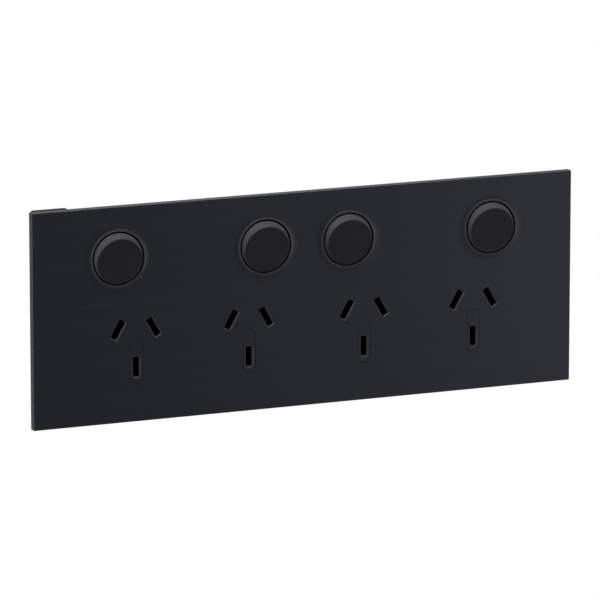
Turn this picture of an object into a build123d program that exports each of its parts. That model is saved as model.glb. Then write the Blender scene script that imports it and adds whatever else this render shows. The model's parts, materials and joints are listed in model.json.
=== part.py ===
from build123d import *
import os
from math import cos, radians, sin

# Frame: X to the right and Z up as seen from the room, Y into the wall, the wall's face at y = 0.
# The origin is behind the centre of the cover plate. All sizes are in millimetres and degrees.

# Cover plate
plate_width = 214.6
plate_height = 80.0
plate_thickness = 1.5
plate_corner_radius = 0.4
plate_edge_chamfer = 0.3
plate_rim_width = 1.5
plate_rim_gap = 0.1

# Pin pattern of one outlet: two slanted line slots above a vertical earth slot
line_slot_x = 6.86
line_slot_z = 3.96
earth_slot_drop = 10.31
line_slot_tilt = 30.0
slot_width = 2.4
slot_height = 7.35
slot_corner_radius = 0.3
slot_chamfer = 0.4

# Obround insert round each earth slot
insert_width = 4.8
insert_height = 16.6
insert_top_drop = 0.0
insert_gap = 0.08
insert_seat_depth = 1.7
insert_edge_chamfer = 0.12
scoop_width = 3.6
scoop_height = 8.7
scoop_depth = 0.45

# Places on the face
outlet_inner_x = 23.0
outlet_outer_x = 67.3
outlet_z = -9.4
switch_inner_x = 16.45
switch_outer_x = 74.1
switch_z = 20.9
switch_hole_radius = 10.1
switch_hole_rounding = 0.7

# Base moulding
flange_thickness = 1.1
flange_side_overhang = 6.9
flange_top_overhang = 2.5
flange_bottom_overhang = 4.5
flange_corner_radius = 2.0
floor_depth = 1.2
rim_groove_depth = 0.4
rim_groove_gap = 0.15
plug_gap = 0.2
well_gap = 0.2
well_wall = 1.7
well_lip_gap = 0.42
well_lip_thickness = 1.5
well_lip_radius = 7.5
guide_wall = 0.8
guide_depth = 3.8

# Wall screws, under the cover plate
wall_screw_spacing = 84.0
wall_screw_hole_radius = 2.1
wall_screw_pocket_radius = 4.4
wall_screw_pocket_wall = 1.2
wall_screw_seat_depth = 1.4
wall_screw_seat_thickness = 2.0

# Rear housing, laid out round the outer switches, the earth slots and the contacts
housing_side_margin = 23.0
housing_top_margin = 14.3
housing_bottom_margin = 13.29
housing_wall = 1.8
housing_corner_radius = 1.0
housing_least_radius = 0.75
housing_edge_chamfer = 1.0
strip_rear_gap = 0.5
lower_depth = 25.5
step_z = 3.0
tower_depth = 26.9
tower_side_gap = 1.4
window_gap = 1.25
window_width = 12.0
window_height = 16.0
window_wall = 1.6
rib_width = 3.0
pad_size = 4.0

# Screws that hold the rear housing, put in from the front
top_screw_inset = 7.0
bottom_screw_inset = 5.5
side_screw_inset = 6.4
side_screw_z = 4.0
housing_screw_radius = 1.25
housing_screw_length = 10.0
housing_screw_head_radius = 2.6
housing_screw_head_height = 1.1
housing_screw_recess = 1.2
housing_screw_slot_width = 0.7
housing_screw_slot_depth = 0.5
screw_clearance = 0.05
screw_head_gap = 0.2
post_wall = 1.6

# Pegs that clip the cover plate on
clip_side_inset = 4.4
clip_end_inset = 6.0
middle_clip_drop = 3.9
clip_pad_radius = 2.6
clip_pad_thickness = 0.5
clip_pin_radius = 1.3
clip_barb_radius = 1.6
clip_barb_length = 1.6
clip_tip_radius = 0.9
clip_gap = 0.1

# Rocker: it turns about X, and rests switched on with its top out
rocker_throw = 21.0
pivot_depth = 3.28
face_reach = 4.94
swing_gap = 0.05
button_gap = 0.25
skirt_depth = 2.0
rocker_wall = 1.6
rocker_edge_fillet = 0.5
trunnion_radius = 1.0
trunnion_end_gap = 0.3
trunnion_clearance = 0.05

# Sprung plunger in the rocker's barrel
nose_reach = 10.5
nose_radius = 1.5
collar_radius = 1.92
collar_length = 2.1
plunger_clearance = 0.08
barrel_wall = 1.2
barrel_reach = 7.4
barrel_lip = 0.8
barrel_floor = 0.6
plunger_play = 0.1
spring_wire_radius = 0.25
spring_turns = 5

# See-saw contact arm
arm_throw = 16.0
arm_width = 5.0
arm_length = 17.0
arm_thickness = 1.0
arm_corner_fillet = 1.0
nose_gap = 0.07
knuckle_radius = 0.7
knuckle_reach = 4.2
knuckle_clearance = 0.05
pip_radius = 1.0
pip_height = 0.6
pip_inset = 1.2
pip_gap = 0.05
fixed_pip_radius = 1.3

# Strips, bars and pin clips
bar_thickness = 1.0
bar_height = 6.0
bar_gap = 1.25
ear_gap = 0.5
ear_thickness = 0.8
ear_margin = 1.2
strip_thickness = 0.8
strip_width = 5.0
strip_gap = 1.4
strip_top_margin = 1.0
strip_jog_z = 5.5
strip_foot_margin = 3.0
neutral_bar_depth = 19.6
neutral_bar_drop = 7.66
neutral_bar_height = 4.2
earth_bar_depth = 16.6
bar_end_margin = 1.2
clip_leaf_thickness = 0.5
clip_leaf_width = 6.4
clip_mouth_depth = 4.6
clip_pinch_depth = 8.0
clip_belly_depth = 11.0
clip_mouth_half = 1.5
clip_pinch_half = 1.0
clip_belly_half = 1.7

# Terminals in the tower
neutral_terminal_rise = 0.6
earth_terminal_drop = 5.29
terminal_size = 8.5
terminal_height = 8.0
terminal_length = 9.0
terminal_lug_reach = 4.0
terminal_wall_gap = 0.7
terminal_gap = 0.08
wire_bore_radius = 2.5
wire_bore_length = 7.0
wire_hole_gap = 0.4
wire_axis_depth = 4.5
cradle_wall = 1.0
cradle_open = 0.6
terminal_screw_radius = 1.85
terminal_screw_tip_gap = 0.4
terminal_screw_head_radius = 2.9
terminal_screw_head_height = 1.6
terminal_screw_head_lift = 0.5
terminal_screw_head_gap = 0.5
terminal_screw_slot_width = 0.9
terminal_screw_slot_depth = 0.8
terminal_access_gap = 0.5

# Places worked out from the sizes
face_y = -(flange_thickness + plate_thickness)
outlet_xs = [-outlet_outer_x, -outlet_inner_x, outlet_inner_x, outlet_outer_x]
switch_xs = [-switch_outer_x, -switch_inner_x, switch_inner_x, switch_outer_x]
switch_places = [(x, switch_z) for x in switch_xs]
active_places = [(x - line_slot_x, outlet_z + line_slot_z) for x in outlet_xs]
neutral_places = [(x + line_slot_x, outlet_z + line_slot_z) for x in outlet_xs]
earth_places = [(x, outlet_z - earth_slot_drop) for x in outlet_xs]
insert_places = [(x, outlet_z - insert_top_drop - insert_height / 2) for x in outlet_xs]
wall_screw_places = [(-wall_screw_spacing / 2, 0.0), (wall_screw_spacing / 2, 0.0)]

well_radius = switch_hole_radius + well_gap
well_outer_radius = well_radius + well_wall
pivot_y = face_y + pivot_depth
swing_radius = switch_hole_radius - swing_gap
button_radius = switch_hole_radius - button_gap
rocker_rest = rocker_throw / 2
skirt_reach = skirt_depth * cos(radians(rocker_rest)) + button_radius * sin(radians(rocker_rest))
well_lip_depth = pivot_y + skirt_reach + well_lip_gap
well_back = well_lip_depth + well_lip_thickness
trunnion_reach = well_outer_radius - trunnion_end_gap

barrel_bore = collar_radius + plunger_clearance
barrel_radius = barrel_bore + barrel_wall
barrel_mouth = nose_radius + plunger_clearance
collar_front = barrel_reach - barrel_lip - plunger_play - collar_length
barrel_back = -face_reach + rocker_wall + barrel_floor
spring_length = collar_front - barrel_back - 2 * plunger_play

arm_pivot_y = pivot_y + nose_reach + nose_radius + nose_gap + arm_thickness
arm_rest = -arm_throw / 2
pip_z = arm_length / 2 - pip_inset
bar_front = arm_pivot_y + bar_gap
bar_back = bar_front + bar_thickness
strip_front = bar_back + strip_gap
strip_back = strip_front + strip_thickness
ear_inner = arm_width / 2 + ear_gap
pad_z = (switch_z + strip_jog_z) / 2
neutral_bar_z = outlet_z + line_slot_z - neutral_bar_drop
neutral_bar_back = neutral_bar_depth + strip_thickness
earth_bar_back = earth_bar_depth + strip_thickness
earth_bar_z = outlet_z - earth_slot_drop

housing_half = switch_outer_x + housing_side_margin
housing_top = switch_z + housing_top_margin
housing_bottom = earth_bar_z - housing_bottom_margin
upper_inside = strip_back + strip_rear_gap
upper_depth = upper_inside + housing_wall
lower_inside = lower_depth - housing_wall
tower_inside = tower_depth - housing_wall
flange_half = housing_half + flange_side_overhang
flange_top = housing_top + flange_top_overhang
flange_bottom = housing_bottom - flange_bottom_overhang
boss_back = wall_screw_seat_depth + wall_screw_seat_thickness
screw_seat_y = housing_screw_recess - flange_thickness

rib_x = (outlet_inner_x + outlet_outer_x) / 2
slot_turn = radians(line_slot_tilt)
clip_half = clip_belly_half + clip_leaf_thickness / 2
clip_reach = clip_leaf_width / 2 * sin(slot_turn) + clip_half * cos(slot_turn)
window_x = outlet_inner_x + line_slot_x + clip_reach + window_gap + window_wall + window_width / 2
bottom_screw_z = housing_bottom + bottom_screw_inset
side_screw_x = housing_half - side_screw_inset
housing_screw_places = [
    (0.0, housing_top - top_screw_inset),
    (0.0, bottom_screw_z),
    (-rib_x, bottom_screw_z),
    (rib_x, bottom_screw_z),
    (-side_screw_x, side_screw_z),
    (side_screw_x, side_screw_z),
]
side_clip_x = housing_half - clip_side_inset
clip_zs = (housing_bottom + clip_end_inset, housing_top - clip_end_inset)
clip_places = [(x, z) for x in (-side_clip_x, side_clip_x) for z in clip_zs]
clip_places += [(x, switch_z - middle_clip_drop) for x in (-rib_x, rib_x)]

terminal_left = -housing_half + housing_wall + terminal_wall_gap
terminal_right = terminal_left + terminal_size
tower_edge = terminal_right + tower_side_gap + housing_wall
head_room = terminal_screw_head_lift + terminal_screw_head_height + terminal_screw_head_gap
terminal_back = tower_inside - head_room
terminal_depth = terminal_back - terminal_length
wire_axis_y = terminal_depth + wire_axis_depth
terminal_screw_x = terminal_left + wire_bore_length / 2
earth_terminal_z = earth_bar_z - earth_terminal_drop
terminal_places = {
    "active_terminal": switch_z,
    "neutral_terminal": neutral_bar_z + neutral_terminal_rise,
    "earth_terminal": earth_terminal_z,
}


def at_y(y):
    """Sketch plane parallel to the wall and seen from the room: local x is +X, local y is +Z."""
    return Plane.XZ.offset(-y)


def block(low, high, mode=Mode.ADD):
    """Box between its lowest and its highest corner."""
    middle = tuple((a + b) / 2 for a, b in zip(low, high))
    with Locations(middle):
        Box(high[0] - low[0], high[1] - low[1], high[2] - low[2], mode=mode)


def round_bar(place, y_front, y_back, radius, mode=Mode.ADD):
    """Cylinder along Y at a place (x, z), from one depth to another."""
    with Locations(Location((place[0], (y_front + y_back) / 2, place[1]), (90, 0, 0))):
        Cylinder(radius, y_back - y_front, mode=mode)


def cross_bar(x_low, x_high, y, z, radius, mode=Mode.ADD):
    """Cylinder along X between two values of x."""
    with Locations(Location(((x_low + x_high) / 2, y, z), (0, 90, 0))):
        Cylinder(radius, x_high - x_low, mode=mode)


def prism(sketch, depth, mode=Mode.ADD):
    """Push a sketch that faces the room away from the room."""
    extrude(sketch, amount=-depth, mode=mode)


def slot_sketch(y, places, tilt):
    """Round-cornered pin slots at places (x, z), leaning to the right by the tilt."""
    with BuildSketch(at_y(y)) as slots:
        with Locations(*places):
            RectangleRounded(slot_width, slot_height, slot_corner_radius, rotation=-tilt)
    return slots.sketch


def guides(y_front, y_back, margin, mode):
    """Square-cornered passages of all the pins, grown by a margin all round, from one depth to another."""
    groups = [(active_places, line_slot_tilt), (neutral_places, -line_slot_tilt), (earth_places, 0.0)]
    for places, tilt in groups:
        with BuildSketch(at_y(y_front)) as passages:
            with Locations(*places):
                Rectangle(slot_width + 2 * margin, slot_height + 2 * margin, rotation=-tilt)
        prism(passages.sketch, y_back - y_front, mode)


def insert_sketch(plane, margin):
    """Obround outlines of the earth inserts, grown by a margin all round."""
    with BuildSketch(plane) as outlines:
        with Locations(*insert_places):
            SlotOverall(insert_height + 2 * margin, insert_width + 2 * margin, rotation=90)
    return outlines.sketch


def housing_outline(plane, inset):
    """Outline of the rear housing, drawn in by an inset."""
    with BuildSketch(plane) as outline:
        with Locations((0, (housing_top + housing_bottom) / 2)):
            RectangleRounded(
                2 * (housing_half - inset),
                housing_top - housing_bottom - 2 * inset,
                max(housing_corner_radius - inset, housing_least_radius),
            )
    return outline.sketch


def finish(part, name):
    """Label a finished piece and write it out."""
    part.label = name
    export_step(part, f"parts/{name}.step")


os.makedirs("parts", exist_ok=True)

# Cover plate: a flat sheet with a rim round its back, pierced for the pins, inserts and buttons
with BuildPart() as cover_plate:
    with BuildSketch(at_y(face_y)):
        RectangleRounded(plate_width, plate_height, plate_corner_radius)
        with Locations(*switch_places):
            Circle(switch_hole_radius, mode=Mode.SUBTRACT)
    extrude(amount=-plate_thickness)
    with BuildSketch(at_y(-flange_thickness)):
        RectangleRounded(plate_width, plate_height, plate_corner_radius)
        Rectangle(plate_width - 2 * plate_rim_width, plate_height - 2 * plate_rim_width, mode=Mode.SUBTRACT)
        with Locations((0, (flange_top + flange_bottom) / 2)):
            flange_room = (2 * (flange_half + plate_rim_gap), flange_top - flange_bottom + 2 * plate_rim_gap)
            Rectangle(*flange_room, mode=Mode.SUBTRACT)
    extrude(amount=-(flange_thickness - plate_rim_gap))
    for places, tilt in ((active_places, line_slot_tilt), (neutral_places, -line_slot_tilt)):
        prism(slot_sketch(face_y, places, tilt), plate_thickness, Mode.SUBTRACT)
    prism(insert_sketch(at_y(face_y), insert_gap), plate_thickness, Mode.SUBTRACT)
    face = cover_plate.faces().sort_by(Axis.Y)[0]
    chamfer(face.outer_wire().edges(), plate_edge_chamfer)
    face = cover_plate.faces().sort_by(Axis.Y)[0]
    hole_edges = face.edges().filter_by(GeomType.CIRCLE).filter_by(lambda e: e.radius > insert_width)
    fillet(hole_edges, switch_hole_rounding)
    face = cover_plate.faces().sort_by(Axis.Y)[0]
    slot_wires = [w for w in face.inner_wires() if w.length < 2 * (slot_width + slot_height)]
    chamfer([e for w in slot_wires for e in w.edges()], slot_chamfer)
finish(cover_plate.part, "cover_plate")

# Pegs on the cover plate's back, each with a pad, a pin and a tapered barb
with BuildPart() as cover_clips:
    with BuildSketch(Plane.XY) as peg_half:
        with BuildLine():
            Polyline(
                (0, -flange_thickness),
                (clip_pad_radius, -flange_thickness),
                (clip_pad_radius, clip_pad_thickness - flange_thickness),
                (clip_pin_radius, clip_pad_thickness - flange_thickness),
                (clip_pin_radius, floor_depth + clip_gap),
                (clip_barb_radius, floor_depth + clip_gap),
                (clip_tip_radius, floor_depth + clip_gap + clip_barb_length),
                (0, floor_depth + clip_gap + clip_barb_length),
                close=True,
            )
        make_face()
    peg = revolve(peg_half.sketch, axis=Axis.Y, mode=Mode.PRIVATE)
    with Locations(*[(x, 0, z) for x, z in clip_places]):
        add(peg)
finish(cover_clips.part, "cover_clips")

# Earth inserts: obround, flush with the plate, with a scooped mouth round the slot
for number, (x, z) in enumerate(insert_places, start=1):
    with BuildPart() as earth_insert:
        with BuildSketch(at_y(face_y)):
            with Locations((x, z)):
                SlotOverall(insert_height, insert_width, rotation=90)
        extrude(amount=-(plate_thickness + insert_seat_depth))
        chamfer(earth_insert.faces().sort_by(Axis.Y)[0].edges(), insert_edge_chamfer)
        scoop_place = earth_places[number - 1]
        with BuildSketch(at_y(face_y)) as scoop:
            with Locations(scoop_place):
                SlotOverall(scoop_height, scoop_width, rotation=90)
        with BuildSketch(at_y(face_y + scoop_depth)) as throat:
            with Locations(scoop_place):
                SlotOverall(slot_height, slot_width, rotation=90)
        loft([scoop.sketch, throat.sketch], mode=Mode.SUBTRACT)
        prism(slot_sketch(face_y, [scoop_place], 0.0), plate_thickness + insert_seat_depth, Mode.SUBTRACT)
    finish(earth_insert.part, f"earth_insert_{number}")

# Base moulding: flange, thicker floor, switch wells with bearings, pin guides and screw pockets
with BuildPart() as base_plate:
    with BuildSketch(at_y(-flange_thickness)):
        with Locations((0, (flange_top + flange_bottom) / 2)):
            RectangleRounded(2 * flange_half, flange_top - flange_bottom, flange_corner_radius)
    extrude(amount=-flange_thickness)
    prism(housing_outline(at_y(-rim_groove_depth), -rim_groove_gap), rim_groove_depth, Mode.SUBTRACT)
    plug_outline = housing_outline(at_y(-rim_groove_depth), housing_wall + plug_gap)
    prism(plug_outline, rim_groove_depth + floor_depth)
    for place in switch_places:
        round_bar(place, 0, well_back, well_outer_radius)
    for place in wall_screw_places:
        round_bar(place, 0, boss_back, wall_screw_pocket_radius + wall_screw_pocket_wall)
    guides(0, guide_depth, guide_wall, Mode.ADD)
    for place in switch_places:
        round_bar(place, -flange_thickness, well_lip_depth, well_radius, Mode.SUBTRACT)
        round_bar(place, -flange_thickness, well_back, well_lip_radius, Mode.SUBTRACT)
        left, right = place[0] - well_outer_radius, place[0] + well_outer_radius
        cross_bar(left, right, pivot_y, place[1], trunnion_radius + trunnion_clearance, Mode.SUBTRACT)
    for place in wall_screw_places:
        round_bar(place, -flange_thickness, wall_screw_seat_depth, wall_screw_pocket_radius, Mode.SUBTRACT)
        round_bar(place, -flange_thickness, boss_back, wall_screw_hole_radius, Mode.SUBTRACT)
    guides(-flange_thickness, guide_depth, 0.0, Mode.SUBTRACT)
    prism(insert_sketch(at_y(-flange_thickness), insert_gap), insert_seat_depth, Mode.SUBTRACT)
    for place in housing_screw_places:
        head_pocket = housing_screw_head_radius + screw_head_gap
        round_bar(place, -flange_thickness, screw_seat_y, head_pocket, Mode.SUBTRACT)
        round_bar(place, -flange_thickness, floor_depth, housing_screw_radius + screw_head_gap, Mode.SUBTRACT)
    for place in clip_places:
        pad_back = clip_pad_thickness + clip_gap - flange_thickness
        round_bar(place, -flange_thickness, pad_back, clip_pad_radius + clip_gap, Mode.SUBTRACT)
        round_bar(place, -flange_thickness, floor_depth, clip_pin_radius + clip_gap, Mode.SUBTRACT)
finish(base_plate.part, "base_plate")

# Rear housing: a stepped tray with a terminal tower, screw posts, windows, cradles and ribs
outer_blocks = [
    (housing_half, housing_top, upper_depth),
    (housing_half, step_z, lower_depth),
    (tower_edge, housing_top, tower_depth),
]
with BuildPart() as rear_housing:
    for right, top, back in outer_blocks:
        with BuildSketch(at_y(-rim_groove_depth)):
            with Locations(((right - housing_half) / 2, (top + housing_bottom) / 2)):
                RectangleRounded(right + housing_half, top - housing_bottom, housing_corner_radius)
        extrude(amount=-(back + rim_groove_depth))
    chamfer(rear_housing.faces().sort_by(Axis.Y)[-1].edges(), housing_edge_chamfer)
    for right, top, back in outer_blocks:
        low = (-housing_half + housing_wall, -rim_groove_depth, housing_bottom + housing_wall)
        block(low, (right - housing_wall, back - housing_wall, top - housing_wall), Mode.SUBTRACT)
    for x in (-window_x, window_x):
        half = window_width / 2 + window_wall
        top = window_height / 2 + window_wall
        block((x - half, floor_depth, -top), (x + half, upper_inside, top))
        block((x - half, upper_inside, -top), (x + half, lower_inside, step_z))
    for x, z in housing_screw_places:
        post_back = lower_inside if z < step_z else upper_inside
        if x < tower_edge:
            post_back = tower_inside
        pilot_radius = housing_screw_radius + screw_clearance
        pilot_back = screw_seat_y + housing_screw_length + screw_head_gap
        round_bar((x, z), floor_depth, post_back, pilot_radius + post_wall)
        round_bar((x, z), floor_depth, pilot_back, pilot_radius, Mode.SUBTRACT)
    for x in (-rib_x, 0.0, rib_x):
        left, right = x - rib_width / 2, x + rib_width / 2
        bar_low, bar_high = switch_z - bar_height / 2, switch_z + bar_height / 2
        block((left, bar_back, bar_low), (right, upper_inside, bar_high))
        bar_low, bar_high = neutral_bar_z - neutral_bar_height / 2, neutral_bar_z + neutral_bar_height / 2
        block((left, neutral_bar_back, bar_low), (right, lower_inside, bar_high))
        bar_low, bar_high = earth_bar_z - bar_height / 2, earth_bar_z + bar_height / 2
        block((left, earth_bar_back, bar_low), (right, lower_inside, bar_high))
    for x in switch_xs:
        low = (x - pad_size / 2, strip_back, pad_z - pad_size / 2)
        block(low, (x + pad_size / 2, upper_inside, pad_z + pad_size / 2))
    for z in terminal_places.values():
        half = terminal_height / 2 + terminal_gap
        cradle_front = terminal_depth + cradle_open
        low = (-housing_half + housing_wall, cradle_front, z - half - cradle_wall)
        block(low, (terminal_right - cradle_open, tower_inside, z + half + cradle_wall))
        low = (terminal_left - terminal_gap, cradle_front, z - half)
        block(low, (terminal_right, terminal_back, z + half), Mode.SUBTRACT)
        screw_place = (terminal_screw_x, z)
        head_hole = terminal_screw_head_radius + terminal_access_gap
        round_bar(screw_place, terminal_back, max(tower_depth, lower_depth), head_hole, Mode.SUBTRACT)
        wire_hole = wire_bore_radius + wire_hole_gap
        cross_bar(-housing_half, terminal_left, wire_axis_y, z, wire_hole, Mode.SUBTRACT)
    for x in (-window_x, window_x):
        low = (x - window_width / 2, floor_depth, -window_height / 2)
        block(low, (x + window_width / 2, lower_depth, window_height / 2), Mode.SUBTRACT)
finish(rear_housing.part, "rear_housing")


def slotted_screw(shank_radius, shank_length, head_radius, head_height, blade_width, blade_depth):
    """Cheese-head screw whose shank points along +Y from the head's seat at y = 0."""
    with BuildPart() as screw:
        round_bar((0, 0), -head_height, 0, head_radius)
        round_bar((0, 0), 0, shank_length, shank_radius)
        low = (-head_radius, -head_height, -blade_width / 2)
        block(low, (head_radius, blade_depth - head_height, blade_width / 2), Mode.SUBTRACT)
    return screw.part


# Screws of the rear housing, heads sunk in the base moulding
housing_screw = slotted_screw(
    housing_screw_radius,
    housing_screw_length,
    housing_screw_head_radius,
    housing_screw_head_height,
    housing_screw_slot_width,
    housing_screw_slot_depth,
)
with BuildPart() as housing_screws:
    with Locations(*[(x, screw_seat_y, z) for x, z in housing_screw_places]):
        add(housing_screw)
finish(housing_screws.part, "housing_screws")

# Rocker about its pivot in mid travel: a domed cap that turns in its hole, a barrel and two trunnions
with BuildPart() as rocker:
    Sphere(swing_radius)
    with BuildSketch(at_y(-face_reach)) as outline:
        Circle(button_radius)
    extrude(outline.sketch, amount=-(face_reach + skirt_depth), mode=Mode.INTERSECT)
    fillet(rocker.faces().sort_by(Axis.Y)[0].edges(), rocker_edge_fillet)
    round_bar((0, 0), rocker_wall - face_reach, skirt_depth, button_radius - rocker_wall, Mode.SUBTRACT)
    round_bar((0, 0), rocker_wall - face_reach, barrel_reach, barrel_radius)
    round_bar((0, 0), barrel_back, barrel_reach - barrel_lip, barrel_bore, Mode.SUBTRACT)
    round_bar((0, 0), barrel_back, barrel_reach, barrel_mouth, Mode.SUBTRACT)
    for side in (-1, 1):
        ends = sorted((side * (button_radius - rocker_wall / 2), side * trunnion_reach))
        cross_bar(ends[0], ends[1], 0, 0, trunnion_radius)

# Plunger in the same frame: a collar held behind the barrel's lip and a round nose
nose_tip = nose_reach + nose_radius
with BuildPart() as plunger:
    with BuildSketch(Plane.XY):
        with BuildLine():
            Polyline(
                (0, collar_front),
                (collar_radius, collar_front),
                (collar_radius, collar_front + collar_length),
                (nose_radius, collar_front + collar_length),
                (nose_radius, nose_reach),
            )
            RadiusArc((nose_radius, nose_reach), (0, nose_tip), -nose_radius)
            Line((0, nose_tip), (0, collar_front))
        make_face()
    revolve(axis=Axis.Y)

# Plunger spring in the same frame: a wire wound along the barrel, six-sided to keep its faces few
spring_radius = barrel_bore - spring_wire_radius - plunger_clearance
spring_start = barrel_back + plunger_play + spring_wire_radius
spring_rise = spring_length - 2 * spring_wire_radius
with BuildPart() as plunger_spring:
    with BuildLine():
        wire = Helix(spring_rise / spring_turns, spring_rise, spring_radius, (0, spring_start, 0), (0, 1, 0))
    with BuildSketch(Plane(origin=wire @ 0, z_dir=wire % 0)):
        RegularPolygon(spring_wire_radius, 6)
    sweep(is_frenet=True)

# Contact arm about its pivot in mid travel: a strip with a rolled knuckle and a silver pip at its upper end
with BuildPart() as contact_arm:
    block((-arm_width / 2, -arm_thickness, -arm_length / 2), (arm_width / 2, 0, arm_length / 2))
    fillet(contact_arm.edges().filter_by(Axis.Y), arm_corner_fillet)
    cross_bar(-knuckle_reach, knuckle_reach, 0, 0, knuckle_radius)
    round_bar((0, pip_z), 0, pip_height, pip_radius)

for number, x in enumerate(switch_xs, start=1):
    at_pivot = Location((x, pivot_y, switch_z), (rocker_rest, 0, 0))
    finish(rocker.part.moved(at_pivot), f"rocker_{number}")
    finish(plunger.part.moved(at_pivot), f"plunger_{number}")
    finish(plunger_spring.part.moved(at_pivot), f"plunger_spring_{number}")
    at_arm_pivot = Location((x, arm_pivot_y, switch_z), (arm_rest, 0, 0))
    finish(contact_arm.part.moved(at_arm_pivot), f"contact_arm_{number}")


def pin_clip(place, tilt, back):
    """Sprung clip that grips one pin: two pinched leaves on a base at a depth, turned with the slot."""
    turn = radians(tilt)
    across = Plane(
        origin=(place[0], 0, place[1]), x_dir=(cos(turn), 0, -sin(turn)), z_dir=(sin(turn), 0, cos(turn))
    )
    half_leaf = clip_leaf_thickness / 2
    leaf = [
        (clip_mouth_half, clip_mouth_depth),
        (clip_pinch_half, clip_pinch_depth),
        (clip_belly_half, clip_belly_depth),
        (clip_belly_half, back - half_leaf),
    ]
    with BuildSketch(across) as section:
        with BuildLine():
            Polyline(*leaf, *[(-u, v) for u, v in reversed(leaf)])
        trace(line_width=clip_leaf_thickness)
    extrude(section.sketch, amount=clip_leaf_width / 2, both=True)


# Active contacts: a fixed pip behind each arm, a strip down to the outlet's active slot and its pin clip
contact_face_y = arm_pivot_y + pip_height * cos(radians(arm_throw / 2)) + pip_gap
contact_face_y += (pip_z + pip_radius) * sin(radians(arm_throw / 2))
for number, (x, place) in enumerate(zip(switch_xs, active_places), start=1):
    strip_top = switch_z + pip_z + pip_radius + strip_top_margin
    half = strip_width / 2
    left, right = min(x, place[0]) - half, max(x, place[0]) + half
    with BuildPart() as active_contact:
        block((x - half, strip_front, strip_jog_z - half), (x + half, strip_back, strip_top))
        block((left, strip_front, strip_jog_z - half), (right, strip_back, strip_jog_z + half))
        low = (place[0] - half, strip_front, place[1] - strip_foot_margin)
        block(low, (place[0] + half, strip_back, strip_jog_z + half))
        pin_clip(place, line_slot_tilt, strip_front + clip_leaf_thickness / 2)
        round_bar((x, switch_z + pip_z), contact_face_y, strip_back, fixed_pip_radius)
    finish(active_contact.part, f"active_contact_{number}")

# Active bar: runs behind the arms, with a pair of ears for each arm's knuckle
bar_low, bar_high = switch_z - bar_height / 2, switch_z + bar_height / 2
last_ear = switch_outer_x + ear_inner + ear_thickness
with BuildPart() as active_bar:
    block((terminal_right, bar_front, bar_low), (last_ear + bar_end_margin, bar_back, bar_high))
    lug_end = terminal_depth + terminal_lug_reach
    low = (terminal_right, min(bar_front, lug_end), bar_low)
    block(low, (terminal_right + bar_thickness, max(bar_back, lug_end), bar_high))
    for x in switch_xs:
        for side in (-1, 1):
            ends = sorted((x + side * ear_inner, x + side * (ear_inner + ear_thickness)))
            low = (ends[0], arm_pivot_y - ear_margin, switch_z - knuckle_radius - ear_margin)
            block(low, (ends[1], bar_front, switch_z + knuckle_radius + ear_margin))
        ear_outer = ear_inner + ear_thickness
        ear_hole = knuckle_radius + knuckle_clearance
        cross_bar(x - ear_outer, x + ear_outer, arm_pivot_y, switch_z, ear_hole, Mode.SUBTRACT)
finish(active_bar.part, "active_bar")

# Neutral bar: a strip with a tab and a pin clip at each neutral slot
with BuildPart() as neutral_bar:
    bar_low = neutral_bar_z - neutral_bar_height / 2
    bar_high = neutral_bar_z + neutral_bar_height / 2
    bar_right = neutral_places[-1][0] + strip_width / 2
    block((terminal_right, neutral_bar_depth, bar_low), (bar_right, neutral_bar_back, bar_high))
    for place in neutral_places:
        low = (place[0] - strip_width / 2, neutral_bar_depth, bar_low)
        block(low, (place[0] + strip_width / 2, neutral_bar_back, place[1] + strip_foot_margin))
        pin_clip(place, -line_slot_tilt, neutral_bar_depth + clip_leaf_thickness / 2)
finish(neutral_bar.part, "neutral_bar")

# Earth bar: a strip under the earth slots with a pin clip at each, and a tab down to its terminal
with BuildPart() as earth_bar:
    bar_low, bar_high = earth_bar_z - bar_height / 2, earth_bar_z + bar_height / 2
    bar_right = earth_places[-1][0] + strip_width / 2
    block((terminal_right, earth_bar_depth, bar_low), (bar_right, earth_bar_back, bar_high))
    low = (terminal_right, earth_bar_depth, earth_terminal_z - strip_foot_margin)
    block(low, (terminal_right + strip_width, earth_bar_back, bar_high))
    for place in earth_places:
        pin_clip(place, 0.0, earth_bar_depth + clip_leaf_thickness / 2)
finish(earth_bar.part, "earth_bar")

# Terminals: brass blocks with a wire bore from the side and a screw hole from the back
for name, z in terminal_places.items():
    with BuildPart() as terminal:
        low = (terminal_left, terminal_depth, z - terminal_height / 2)
        block(low, (terminal_right, terminal_back, z + terminal_height / 2))
        bore_end = terminal_left + wire_bore_length
        cross_bar(terminal_left, bore_end, wire_axis_y, z, wire_bore_radius, Mode.SUBTRACT)
        hole_radius = terminal_screw_radius + screw_clearance
        round_bar((terminal_screw_x, z), wire_axis_y, terminal_back, hole_radius, Mode.SUBTRACT)
    finish(terminal.part, name)

# Terminal screws, backed out so that the wire bores are open
shank_tip = wire_axis_y + wire_bore_radius + terminal_screw_tip_gap
head_seat = terminal_back + terminal_screw_head_lift
terminal_screw = slotted_screw(
    terminal_screw_radius,
    head_seat - shank_tip,
    terminal_screw_head_radius,
    terminal_screw_head_height,
    terminal_screw_slot_width,
    terminal_screw_slot_depth,
)
screw_heads = [(terminal_screw_x, head_seat, z) for z in terminal_places.values()]
with BuildPart() as terminal_screws:
    with Locations(*[Location(head, (180, 0, 0)) for head in screw_heads]):
        add(terminal_screw)
finish(terminal_screws.part, "terminal_screws")
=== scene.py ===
import json
import math

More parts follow.
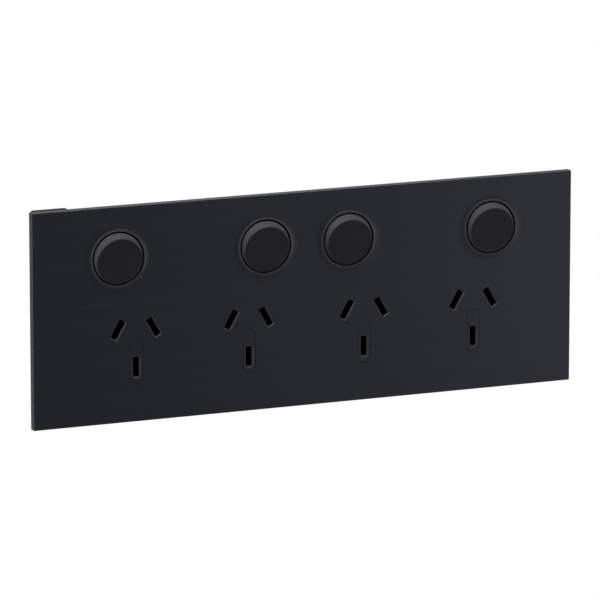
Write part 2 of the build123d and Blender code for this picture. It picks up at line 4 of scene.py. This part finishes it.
import bpy
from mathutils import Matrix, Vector


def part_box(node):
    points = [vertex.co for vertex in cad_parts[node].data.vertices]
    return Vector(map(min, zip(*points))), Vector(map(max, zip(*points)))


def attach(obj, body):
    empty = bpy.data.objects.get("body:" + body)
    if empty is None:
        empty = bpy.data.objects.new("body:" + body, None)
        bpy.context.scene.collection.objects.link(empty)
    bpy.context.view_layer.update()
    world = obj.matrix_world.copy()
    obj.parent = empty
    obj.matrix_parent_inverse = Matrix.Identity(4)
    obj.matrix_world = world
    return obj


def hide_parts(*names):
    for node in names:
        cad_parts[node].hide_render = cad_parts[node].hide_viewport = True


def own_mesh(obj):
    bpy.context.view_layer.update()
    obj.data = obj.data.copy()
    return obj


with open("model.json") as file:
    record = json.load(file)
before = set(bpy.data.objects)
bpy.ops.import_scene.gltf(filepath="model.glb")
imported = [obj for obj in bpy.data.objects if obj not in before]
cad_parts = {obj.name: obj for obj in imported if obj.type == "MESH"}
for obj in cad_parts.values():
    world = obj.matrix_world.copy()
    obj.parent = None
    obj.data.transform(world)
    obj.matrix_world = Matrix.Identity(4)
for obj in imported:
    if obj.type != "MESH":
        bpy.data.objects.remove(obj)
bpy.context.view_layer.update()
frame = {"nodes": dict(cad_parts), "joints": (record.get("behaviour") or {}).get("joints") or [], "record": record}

# The part's frame in metres: +X right and +Z up as seen from the room, +Y into the wall
millimetre = 0.001
plate_low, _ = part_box("cover_plate")
face_y = plate_low.y
switch_numbers = (1, 2, 3, 4)

# Camera, fitted to the photograph with the pin pattern as its ruler
camera_target = Vector((-2.74, 0.0, -0.29)) * millimetre + Vector((0, face_y, 0))
camera_yaw = math.radians(23.31)
camera_elevation = math.radians(11.87)
camera_distance = 2.056
camera_lens = 336.9
camera_sensor = 36.0
camera_clip = (0.05, 100)

# Studio
floor_drop = 1.8
floor_size = 30.0
floor_tone = 0.8
floor_roughness = 0.9
ambient_level = 0.02
background_level = 1.0
white = (1, 1, 1, 1)

# Noise: the values that it mostly keeps between, and its features per metre
noise_low, noise_high = 0.3, 0.7
noise_roughness = 0.55
fine_grain = 5200
housing_grain = 2600
rolling_lines = 1400
brush_bands = 1100
stains_per_metre = 160
clouds_per_metre = 90

# How far noise is stretched along X, Y and Z
fine_brush_stretch = (900, 1, 1)
band_brush_stretch = (220, 1, 1)
bar_rolling_stretch = (60, 1, 60)
arm_rolling_stretch = (1, 60, 60)

# Relief as (depth in metres, strength)
brush_relief = (0.000006, 0.25)
fine_relief = (0.00001, 0.5)
housing_relief = (0.00003, 0.5)
button_relief = (0.000008, 0.4)
metal_relief = (0.000008, 0.4)

# Brushed metal: its flat faces are those whose normal lies nearly along Y
brush_anisotropy = 0.5
brush_specular = 0.04
brush_gloss = (0.36, 0.44)
flat_from, flat_full = 0.93, 0.995
cut_metallic, flat_metallic = 0.1, 0.7

# Buttons: the flat face's painted shade tone is full below the first value of the normal's Y and gone above the
# second, where the dome's painted lighter tone takes over
button_specular = 0.03
button_gloss = (0.42, 0.56)
face_full, face_gone = -0.975, -0.93

# How far the roughness goes below and above its middle
plastic_gloss_spread = (0.05, 0.07)
metal_gloss_spread = (0.06, 0.08)

# Drawn lip round each switch hole: (radius, height above the plate's face) in millimetres
lip_section = (
    (10.13, -0.60),
    (9.98, -0.35),
    (9.92, -0.10),
    (9.90, 0.15),
    (9.94, 0.33),
    (10.03, 0.42),
    (10.14, 0.42),
    (10.28, 0.355),
    (10.46, 0.275),
    (10.72, 0.195),
    (11.10, 0.12),
    (11.65, 0.057),
    (12.30, 0.02),
    (12.90, 0.004),
    (13.10, -0.004),
    (13.50, -0.02),
    (13.30, -0.12),
    (10.95, -0.12),
    (10.45, -0.45),
)
lip_segments = 96

# Plunger springs
wire_radius = 0.25 * millimetre
spring_turns = 5
closed_turns = 0.75
closed_pitch = 2.05 * wire_radius
steps_per_turn = 36
wire_sides = 10


def link(obj):
    """Put a new object into the scene."""
    bpy.context.scene.collection.objects.link(obj)
    return obj


def add(tree, kind, inputs=None, **settings):
    """Add a shader node, set it up and feed its inputs from values or from other nodes' sockets."""
    made = tree.nodes.new(kind)
    for key, value in settings.items():
        setattr(made, key, value)
    for key, value in (inputs or {}).items():
        if isinstance(value, bpy.types.NodeSocket):
            tree.links.new(value, made.inputs[key])
        else:
            made.inputs[key].default_value = value
    return made


def new_material(name, **values):
    """A material with a Principled shader whose plain values are set on its own sockets."""
    material = bpy.data.materials.new(name)
    material.use_nodes = True
    tree = material.node_tree
    shader = tree.nodes["Principled BSDF"]
    for key, value in values.items():
        shader.inputs[key.replace("_", " ")].default_value = value
    return material, tree, shader


def noise(tree, scale, stretch=(1, 1, 1), detail=3.0):
    """Noise in object space: scale is in features per metre, and stretch lengthens them along each axis."""
    place = add(tree, "ShaderNodeTexCoord").outputs["Object"]
    scales = [1 / factor for factor in stretch]
    stretched = add(tree, "ShaderNodeMapping", {"Vector": place, "Scale": scales}).outputs["Vector"]
    values = {"Vector": stretched, "Scale": scale, "Detail": detail, "Roughness": noise_roughness}
    return add(tree, "ShaderNodeTexNoise", values).outputs["Fac"]


def spread(tree, value, low, high, start=noise_low, end=noise_high):
    """Map a value that runs from start to end to a range from low to high."""
    values = {"Value": value, "From Min": start, "From Max": end, "To Min": low, "To Max": high}
    return add(tree, "ShaderNodeMapRange", values).outputs["Result"]


def tint(tree, value, dark, light):
    """Colour between two by a noise value."""
    ramp = add(tree, "ShaderNodeValToRGB", {"Fac": value})
    stops = ramp.color_ramp.elements
    for stop, colour, position in zip(stops, (dark, light), (noise_low, noise_high)):
        stop.color = (*colour, 1)
        stop.position = position
    return ramp.outputs["Color"]


def blend(tree, share, first, second):
    """The first colour where share is 0, and the second where it is 1."""
    values = {"Fac": share, "Color1": first, "Color2": second}
    return add(tree, "ShaderNodeMixRGB", values).outputs["Color"]


def normal_y(tree):
    """The Y part of the surface's normal, -1 where it faces the room squarely."""
    normal = add(tree, "ShaderNodeTexCoord").outputs["Normal"]
    return add(tree, "ShaderNodeSeparateXYZ", {"Vector": normal}).outputs["Y"]


def bump(tree, shader, height, relief):
    """Relief given as a real depth in metres and a strength."""
    depth, strength = relief
    values = {"Height": height, "Distance": depth, "Strength": strength}
    tree.links.new(add(tree, "ShaderNodeBump", values).outputs["Normal"], shader.inputs["Normal"])


def brushed_metal(name, dark, light, painted_bevel_highlight, wall):
    """Dark anodised aluminium, brushed along X: fine lines in tone, gloss and relief, less metallic on cut edges,
    whose colour runs from the wall tone on square walls to a painted highlight on chamfers.
    """
    values = {"Anisotropic": brush_anisotropy, "Specular_IOR_Level": brush_specular}
    material, tree, shader = new_material(name, **values)
    fine = noise(tree, fine_grain, fine_brush_stretch, 2.0)
    broad = noise(tree, brush_bands, band_brush_stretch)
    both = add(tree, "ShaderNodeMath", {0: fine, 1: broad}, operation="ADD").outputs["Value"]
    lines = add(tree, "ShaderNodeMath", {0: both, 1: 0.5}, operation="MULTIPLY").outputs["Value"]
    across = add(tree, "ShaderNodeMath", {0: normal_y(tree)}, operation="ABSOLUTE").outputs["Value"]
    flat = spread(tree, across, 0.0, 1.0, flat_from, flat_full)
    # Cut edges: the lighter colour on chamfers is a painted highlight, standing in for light falling on the bevels
    colour = blend(tree, flat, tint(tree, across, wall, painted_bevel_highlight), tint(tree, lines, dark, light))
    tree.links.new(colour, shader.inputs["Base Color"])
    metallic = spread(tree, flat, cut_metallic, flat_metallic, 0.0, 1.0)
    tree.links.new(metallic, shader.inputs["Metallic"])
    tree.links.new(spread(tree, lines, *brush_gloss), shader.inputs["Roughness"])
    tangent = add(tree, "ShaderNodeTangent", direction_type="RADIAL", axis="Z")
    tree.links.new(tangent.outputs["Tangent"], shader.inputs["Tangent"])
    bump(tree, shader, lines, brush_relief)
    return material


def moulded_plastic(name, dark, light, gloss, specular, grain=fine_grain, relief=fine_relief):
    """Moulded plastic with a fine eroded grain and a slow change of tone."""
    material, tree, shader = new_material(name, Specular_IOR_Level=specular)
    grains = noise(tree, grain)
    clouds = noise(tree, clouds_per_metre, detail=2.0)
    below, above = plastic_gloss_spread
    tree.links.new(tint(tree, clouds, dark, light), shader.inputs["Base Color"])
    tree.links.new(spread(tree, grains, gloss - below, gloss + above), shader.inputs["Roughness"])
    bump(tree, shader, grains, relief)
    return material


def satin_button(name, painted_lit_dome_dark, painted_lit_dome_light, painted_shade_face_dark, painted_shade_face_light):
    """Satin plastic of a switch button in lit and shaded copies: the dome gets a painted lighter tone for light
    from above, and the flat face a painted darker, cooler shade like the plate's.
    """
    material, tree, shader = new_material(name, Specular_IOR_Level=button_specular)
    grains = noise(tree, fine_grain)
    clouds = noise(tree, clouds_per_metre, detail=2.0)
    # Painted light: the up-facing dome is coloured lighter as if lit, the forward face darker as if in shade
    flat = spread(tree, normal_y(tree), 1.0, 0.0, face_full, face_gone)
    painted_lit_dome = tint(tree, clouds, painted_lit_dome_dark, painted_lit_dome_light)
    painted_shade_face = tint(tree, clouds, painted_shade_face_dark, painted_shade_face_light)
    tree.links.new(blend(tree, flat, painted_lit_dome, painted_shade_face), shader.inputs["Base Color"])
    tree.links.new(spread(tree, grains, *button_gloss), shader.inputs["Roughness"])
    bump(tree, shader, grains, button_relief)
    return material


def pressed_metal(name, dark, light, gloss, stretch=(1, 1, 1)):
    """Bright pressed or drawn metal with faint rolling lines and stains."""
    material, tree, shader = new_material(name, Metallic=1.0)
    lines = noise(tree, rolling_lines, stretch)
    stains = noise(tree, stains_per_metre, detail=4.0)
    below, above = metal_gloss_spread
    tree.links.new(tint(tree, stains, dark, light), shader.inputs["Base Color"])
    tree.links.new(spread(tree, lines, gloss - below, gloss + above), shader.inputs["Roughness"])
    bump(tree, shader, lines, metal_relief)
    return material


# Plate and inserts: the bevel colour is a painted highlight for light on the chamfers, not a colour of the metal
plate_metal = brushed_metal(
    "dark_anodised_brushed",
    dark=(0.0112, 0.0132, 0.0172),
    light=(0.0148, 0.0168, 0.0214),
    painted_bevel_highlight=(0.054, 0.056, 0.061),
    wall=(0.019, 0.020, 0.022),
)
insert_plastic = brushed_metal(
    "insert_plastic_matt",
    dark=(0.0117, 0.0138, 0.0178),
    light=(0.0144, 0.0163, 0.0208),
    painted_bevel_highlight=(0.052, 0.054, 0.059),
    wall=(0.026, 0.027, 0.030),
)
# One plastic in lit and shaded copies: the dome is painted lighter as if lit from above, the face painted darker
# and cooler as if in shade
button_plastic = satin_button(
    "button_plastic_satin",
    painted_lit_dome_dark=(0.047, 0.046, 0.049),
    painted_lit_dome_light=(0.052, 0.051, 0.054),
    painted_shade_face_dark=(0.0275, 0.0305, 0.0375),
    painted_shade_face_light=(0.0315, 0.0345, 0.0415),
)
base_plastic = moulded_plastic(
    "base_plastic_black",
    dark=(0.006, 0.006, 0.007),
    light=(0.009, 0.009, 0.010),
    gloss=0.6,
    specular=0.04,
)
housing_plastic = moulded_plastic(
    "housing_plastic_black",
    dark=(0.018, 0.018, 0.019),
    light=(0.026, 0.026, 0.028),
    gloss=0.7,
    specular=0.01,
    grain=housing_grain,
    relief=housing_relief,
)
natural_nylon = moulded_plastic(
    "natural_nylon",
    dark=(0.62, 0.60, 0.54),
    light=(0.72, 0.70, 0.64),
    gloss=0.4,
    specular=0.5,
)
brass = pressed_metal(
    "pressed_brass",
    dark=(0.60, 0.42, 0.16),
    light=(0.74, 0.56, 0.26),
    gloss=0.3,
    stretch=bar_rolling_stretch,
)
bronze = pressed_metal(
    "spring_bronze",
    dark=(0.55, 0.33, 0.17),
    light=(0.68, 0.44, 0.25),
    gloss=0.28,
    stretch=arm_rolling_stretch,
)
zinc_steel = pressed_metal(
    "zinc_plated_steel",
    dark=(0.32, 0.33, 0.34),
    light=(0.46, 0.47, 0.48),
    gloss=0.34,
)
spring_wire = pressed_metal(
    "spring_wire",
    dark=(0.50, 0.50, 0.52),
    light=(0.62, 0.62, 0.64),
    gloss=0.25,
)

slot_materials = {
    "cover_plate": plate_metal,
    "button_plastic": button_plastic,
    "insert_plastic": insert_plastic,
    "base_plastic": base_plastic,
    "housing_plastic": housing_plastic,
    "inner_plastic": natural_nylon,
    "bar_brass": brass,
    "arm_bronze": bronze,
    "screw_steel": zinc_steel,
    "spring_steel": spring_wire,
}


def dress(obj, material):
    """Give an object one material in every slot."""
    if not obj.material_slots:
        obj.data.materials.append(material)
    for place in obj.material_slots:
        place.material = material


node_slots = {row["node"]: row["material_slot"] for row in frame["record"]["subparts"]}
for name, obj in frame["nodes"].items():
    dress(obj, slot_materials[node_slots[name]])


def mesh_object(name, points, faces, smooth_faces):
    """An object from points and faces, of which the first ones are smooth."""
    mesh = bpy.data.meshes.new(name)
    mesh.from_pydata(points, [], faces)
    mesh.polygons.foreach_set("use_smooth", [place < smooth_faces for place in range(len(faces))])
    mesh.update()
    return link(bpy.data.objects.new(name, mesh))


def band(here, after, count):
    """Faces between two closed loops of points, from the number of each loop's first point."""
    pairs = [(place, (place + 1) % count) for place in range(count)]
    return [(here + place, here + beyond, after + beyond, after + place) for place, beyond in pairs]


def ring(name, centre, section, segments):
    """A closed ring round an axis along Y, with a section of (radius, height towards the room) in mm."""
    count = len(section)
    points, faces = [], []
    for step in range(segments):
        turn = 2 * math.pi * step / segments
        for radius, height in section:
            reach = radius * millimetre
            points.append((
                centre.x + reach * math.cos(turn),
                centre.y - height * millimetre,
                centre.z + reach * math.sin(turn),
            ))
        faces += band(step * count, (step + 1) % segments * count, count)
    return mesh_object(name, points, faces, len(faces))


def coil(name, foot, along, radius, rise):
    """A spring of round wire whose middle line climbs by rise from foot, with closed turns at both ends."""
    side = along.orthogonal().normalized()
    other = along.cross(side)
    open_pitch = (rise - 2 * closed_turns * closed_pitch) / (spring_turns - 2 * closed_turns)
    climb = 0.0
    points, faces = [], []
    for step in range(spring_turns * steps_per_turn + 1):
        turned = step / steps_per_turn
        if step:
            is_closed = turned <= closed_turns or turned > spring_turns - closed_turns
            climb += (closed_pitch if is_closed else open_pitch) / steps_per_turn
            faces += band((step - 1) * wire_sides, step * wire_sides, wire_sides)
        outward = side * math.cos(2 * math.pi * turned) + other * math.sin(2 * math.pi * turned)
        middle = foot + along * climb + outward * radius
        for corner in range(wire_sides):
            angle = 2 * math.pi * corner / wire_sides
            points.append(middle + (outward * math.cos(angle) + along * math.sin(angle)) * wire_radius)
    smooth_faces = len(faces)
    faces.append(tuple(reversed(range(wire_sides))))
    faces.append(tuple(range(len(points) - wire_sides, len(points))))
    return mesh_object(name, points, faces, smooth_faces)


joints = {joint["name"]: joint for joint in frame["joints"]}
for number in switch_numbers:
    pivot = Vector(joints[f"switch_{number}"]["pos_m"])
    lip = ring(f"hole_lip_{number}", Vector((pivot.x, face_y, pivot.z)), lip_section, lip_segments)
    lip.data.materials.append(plate_metal)
    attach(lip, "outlet")

    # The spring stands on the plunger's collar and pushes it away from the rocker's face
    slide = joints[f"plunger_{number}_slide"]
    along = Vector(slide["axis"]).normalized()
    drawn = [vertex.co - pivot for vertex in frame["nodes"][f"plunger_spring_{number}"].data.vertices]
    heights = [place.dot(along) for place in drawn]
    foot, top = min(heights), max(heights)
    reach = max((place - along * height).length for place, height in zip(drawn, heights))
    spring = coil(
        f"round_spring_{number}",
        pivot + along * (foot + wire_radius),
        along,
        reach - wire_radius,
        top - foot - 2 * wire_radius,
    )
    spring.data.materials.append(spring_wire)
    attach(spring, f"rocker_{number}")
    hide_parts(f"plunger_spring_{number}")
    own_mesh(spring)


def white_where_seen(tree, lit, plain, output):
    """Show the plain shader to camera, mirror and glass rays, and the lit one to all others."""
    path = add(tree, "ShaderNodeLightPath").outputs
    rays = {0: path["Is Camera Ray"], 1: path["Is Glossy Ray"]}
    seen = add(tree, "ShaderNodeMath", rays, operation="MAXIMUM").outputs["Value"]
    rays = {0: seen, 1: path["Is Transmission Ray"]}
    share = add(tree, "ShaderNodeMath", rays, operation="MAXIMUM").outputs["Value"]
    mixed = add(tree, "ShaderNodeMixShader", {0: share, 1: lit, 2: plain}).outputs["Shader"]
    tree.links.new(mixed, tree.nodes[output].inputs["Surface"])


# Floor, far below because the outlet hangs on a wall
half = floor_size / 2
floor_z = plate_low.z - floor_drop
corners = [(-half, -half, floor_z), (half, -half, floor_z), (half, half, floor_z), (-half, half, floor_z)]
floor = mesh_object("floor", corners, [(0, 1, 2, 3)], 0)
floor_colour = (floor_tone, floor_tone, floor_tone, 1)
floor_material, tree, shader = new_material(
    "floor_white", Base_Color=floor_colour, Roughness=floor_roughness
)
glow = add(tree, "ShaderNodeEmission", {"Color": white, "Strength": background_level})
white_where_seen(tree, shader.outputs["BSDF"], glow.outputs["Emission"], "Material Output")
floor.data.materials.append(floor_material)

# World: faint white light all round, seen as plain white
world = bpy.data.worlds.new("studio")
bpy.context.scene.world = world
world.use_nodes = True
tree = world.node_tree
dim = tree.nodes["Background"]
dim.inputs["Color"].default_value = white
dim.inputs["Strength"].default_value = ambient_level
bright = add(tree, "ShaderNodeBackground", {"Color": white, "Strength": background_level})
white_where_seen(tree, dim.outputs["Background"], bright.outputs["Background"], "World Output")


def softbox(name, place, width, height, watts, aim=(0, 0, 0), colour=(1, 1, 1)):
    """Rectangular studio lamp that looks from a place to an aim."""
    lamp = bpy.data.lights.new(name, "AREA")
    lamp.shape = "RECTANGLE"
    lamp.size, lamp.size_y = width, height
    lamp.energy = watts
    lamp.color = colour
    obj = link(bpy.data.objects.new(name, lamp))
    obj.location = place
    obj.rotation_euler = (Vector(aim) - Vector(place)).to_track_quat("-Z", "Y").to_euler()


softbox("overhead", place=(0.0, -0.10, 1.1), width=1.2, height=0.4, watts=17.5)
softbox("left_side", place=(-1.1, -0.05, 0.2), width=0.6, height=0.3, watts=14.0)
softbox(
    "right_front",
    place=(0.60, -0.61, -0.14),
    width=0.3,
    height=0.3,
    watts=2.15,
    aim=(0.05, 0, 0),
    colour=(1.0, 0.86, 0.79),
)
softbox("upper_right", place=(0.60, -0.78, 0.68), width=0.5, height=0.5, watts=0.8)
softbox("behind", place=(0.35, 1.1, -0.65), width=0.9, height=0.7, watts=16.0)

camera = link(bpy.data.objects.new("camera", bpy.data.cameras.new("camera")))
camera.data.lens = camera_lens
camera.data.sensor_width = camera_sensor
back = Vector((
    -math.sin(camera_yaw) * math.cos(camera_elevation),
    -math.cos(camera_yaw) * math.cos(camera_elevation),
    math.sin(camera_elevation),
))
camera.location = camera_target + back * camera_distance
camera.rotation_euler = (-back).to_track_quat("-Z", "Y").to_euler()
camera.data.clip_start, camera.data.clip_end = camera_clip
bpy.context.scene.camera = camera
bpy.context.scene.view_settings.view_transform = "Standard"
